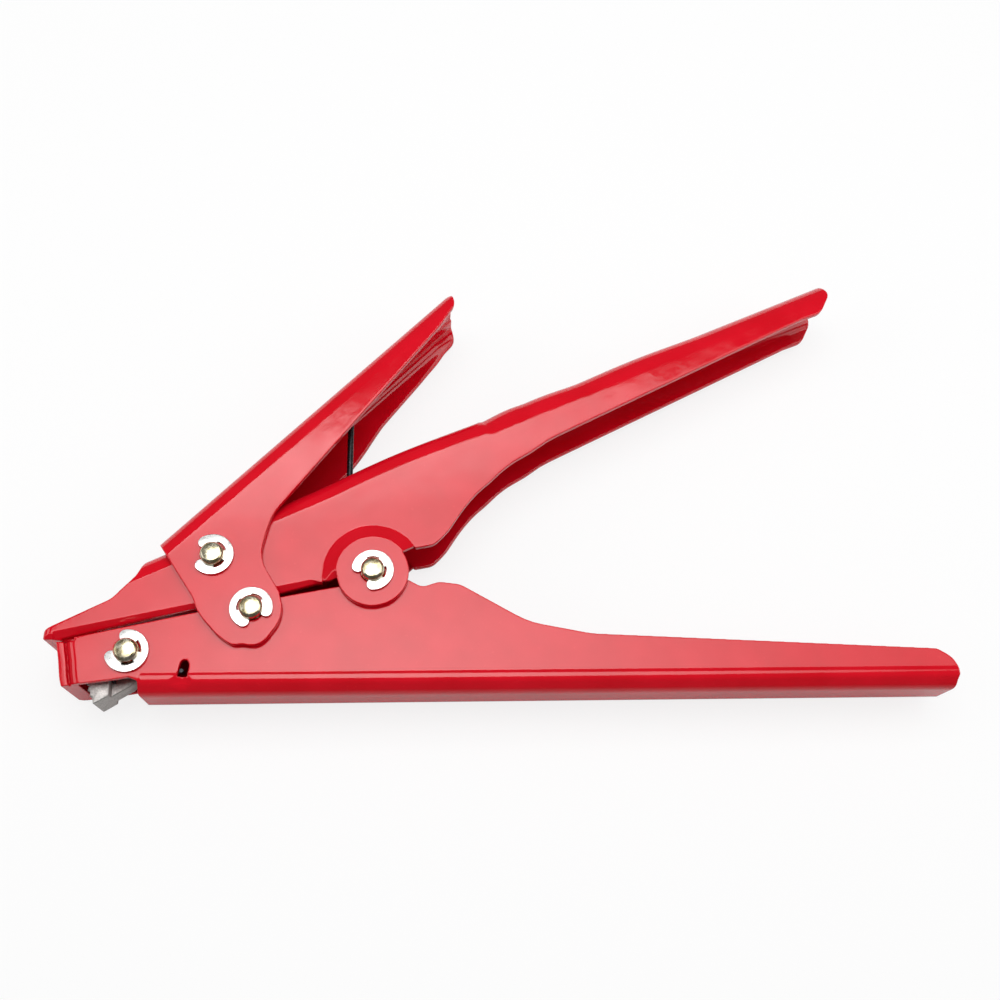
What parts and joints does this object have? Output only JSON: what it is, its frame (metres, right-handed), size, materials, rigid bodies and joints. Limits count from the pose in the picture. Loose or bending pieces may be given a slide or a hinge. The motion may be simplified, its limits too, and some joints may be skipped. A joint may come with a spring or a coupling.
{
  "type": "cable tie tensioning tool",
  "caption": "Hand tool that tensions and cuts cable ties: folded sheet handles, a trigger lever, a toothed gripper and a sliding cutter on clipped pins.",
  "frame": {"origin": "axis of the main pivot, in the plane of the pin heads that the tool rests on", "axes": "+X along the lower handle to its end, +Y from the lower handle to the upper one, +Z from the pin heads to the clips"},
  "size_m": [0.1959, 0.104, 0.0231],
  "materials": {
    "red_paint": "gloss",
    "zinc": "satin",
    "yellow_zinc": "satin",
    "ground_steel": "ground",
    "cast_steel": "blasted",
    "spring_wire": "oiled black"
  },
  "bodies": {
    "lower_frame": {"lower_frame": "red_paint", "main_pin": "yellow_zinc", "main_pin_clip": "zinc", "main_sleeve": "zinc", "main_spring": "spring_wire", "gripper_pin": "yellow_zinc", "gripper_pin_clip": "zinc", "gripper_spring": "spring_wire"},
    "upper_body": {"upper_body": "red_paint"},
    "cut_lever": {"cut_lever": "red_paint", "lever_pin": "yellow_zinc", "lever_pin_clip": "zinc", "blade_pin": "yellow_zinc", "blade_pin_clip": "zinc"},
    "cutter": {"cutter_blade": "ground_steel"},
    "gripper": {"gripper_jaw": "cast_steel"}
  },
  "joints": [
    {"name": "main_pivot", "type": "hinge", "parent": "lower_frame", "child": "upper_body", "pos_m": [0, 0, 0.01105], "axis": [0, 0, 1], "range_deg": [-30, 0], "stiffness_Nm_per_rad": 1.2, "springref_deg": 20.05, "deforming": ["main_spring"]},
    {"name": "lever_pivot", "type": "hinge", "parent": "upper_body", "child": "cut_lever", "pos_m": [-0.034, 0.0035, 0.01105], "axis": [0, 0, 1], "range_deg": [-15, 0], "stiffness_Nm_per_rad": 0.8, "springref_deg": 17.19, "deforming": ["main_spring"]},
    {"name": "gripper_pivot", "type": "hinge", "parent": "lower_frame", "child": "gripper", "pos_m": [-0.0503, -0.01689, 0.01105], "axis": [0, 0, 1], "range_deg": [-10, 12], "stiffness_Nm_per_rad": 0.05, "deforming": ["gripper_spring"]},
    {"name": "cutter_slide", "type": "slide", "parent": "upper_body", "child": "cutter", "axis": [-0.9857, -0.1685, 0], "range_m": [0, 0.0037]}
  ],
  "couplings": [
    {"joint": "cutter_slide", "follows": "lever_pivot", "m_per_rad": -0.01384}
  ]
}
